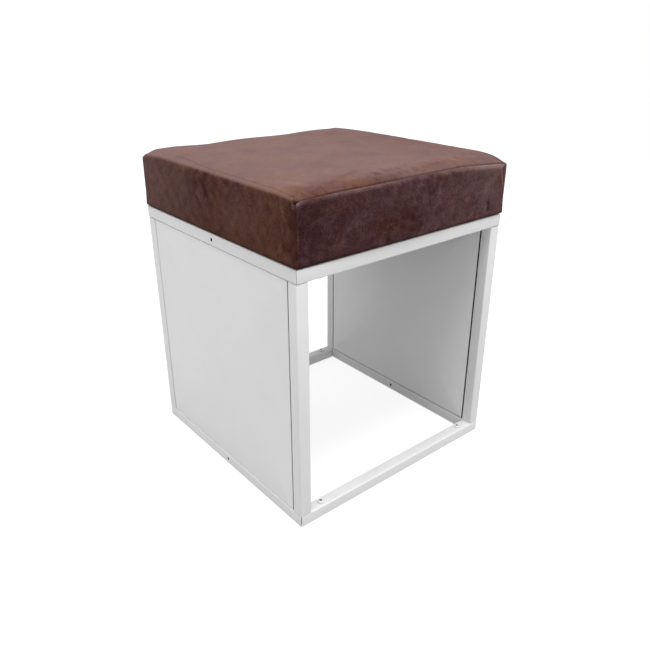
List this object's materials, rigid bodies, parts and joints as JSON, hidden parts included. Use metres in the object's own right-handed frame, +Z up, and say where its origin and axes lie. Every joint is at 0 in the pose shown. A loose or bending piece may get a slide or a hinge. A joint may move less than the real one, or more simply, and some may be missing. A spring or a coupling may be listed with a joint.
{
  "type": "pouf",
  "caption": "Square pouf: white square-tube cube frame with white side panels, open front and back, under a thick brown velvet seat cushion.",
  "frame": {"origin": "on the floor, under the middle of the pouf", "axes": "+Z up, X along the front, the open front faces -Y"},
  "size_m": [0.425, 0.4251, 0.5177],
  "materials": {
    "white_paint": "satin white powder coat",
    "white_board": "satin white laminate on board",
    "white_screw": "white coated steel",
    "cast_metal": "as cast",
    "plated_steel": "zinc plated",
    "black_steel": "black oxide",
    "plywood": "raw birch plywood",
    "foam": "open cell foam",
    "velvet": "short pile velvet",
    "black_cloth": "non-woven cloth"
  },
  "bodies": {
    "root": {"bottom_front_rail": "white_paint", "bottom_back_rail": "white_paint", "bottom_left_rail": "white_paint", "bottom_right_rail": "white_paint", "bottom_front_left_corner_key": "cast_metal", "bottom_front_left_key_screw": "white_screw", "bottom_front_right_corner_key": "cast_metal", "bottom_front_right_key_screw": "white_screw", "bottom_back_left_corner_key": "cast_metal", "bottom_back_left_key_screw": "white_screw", "bottom_back_right_corner_key": "cast_metal", "bottom_back_right_key_screw": "white_screw", "bottom_left_panel_pin": "plated_steel", "bottom_left_set_screw": "black_steel", "bottom_right_panel_pin": "plated_steel", "bottom_right_set_screw": "black_steel", "top_front_rail": "white_paint", "top_back_rail": "white_paint", "top_left_rail": "white_paint", "top_right_rail": "white_paint", "top_front_left_corner_key": "cast_metal", "top_front_left_key_screw": "white_screw", "top_front_right_corner_key": "cast_metal", "top_front_right_key_screw": "white_screw", "top_back_left_corner_key": "cast_metal", "top_back_left_key_screw": "white_screw", "top_back_right_corner_key": "cast_metal", "top_back_right_key_screw": "white_screw", "top_left_panel_pin": "plated_steel", "top_left_set_screw": "black_steel", "top_right_panel_pin": "plated_steel", "top_right_set_screw": "black_steel", "front_left_post": "white_paint", "front_left_seat_screw": "white_screw", "front_left_insert_nut": "plated_steel", "front_right_post": "white_paint", "front_right_seat_screw": "white_screw", "front_right_insert_nut": "plated_steel", "back_left_post": "white_paint", "back_left_seat_screw": "white_screw", "back_left_insert_nut": "plated_steel", "back_right_post": "white_paint", "back_right_seat_screw": "white_screw", "back_right_insert_nut": "plated_steel", "left_panel": "white_board", "right_panel": "white_board", "seat_board": "plywood", "foam_block": "foam", "seat_cover": "velvet", "dust_cover": "black_cloth"}
  },
  "joints": []
}
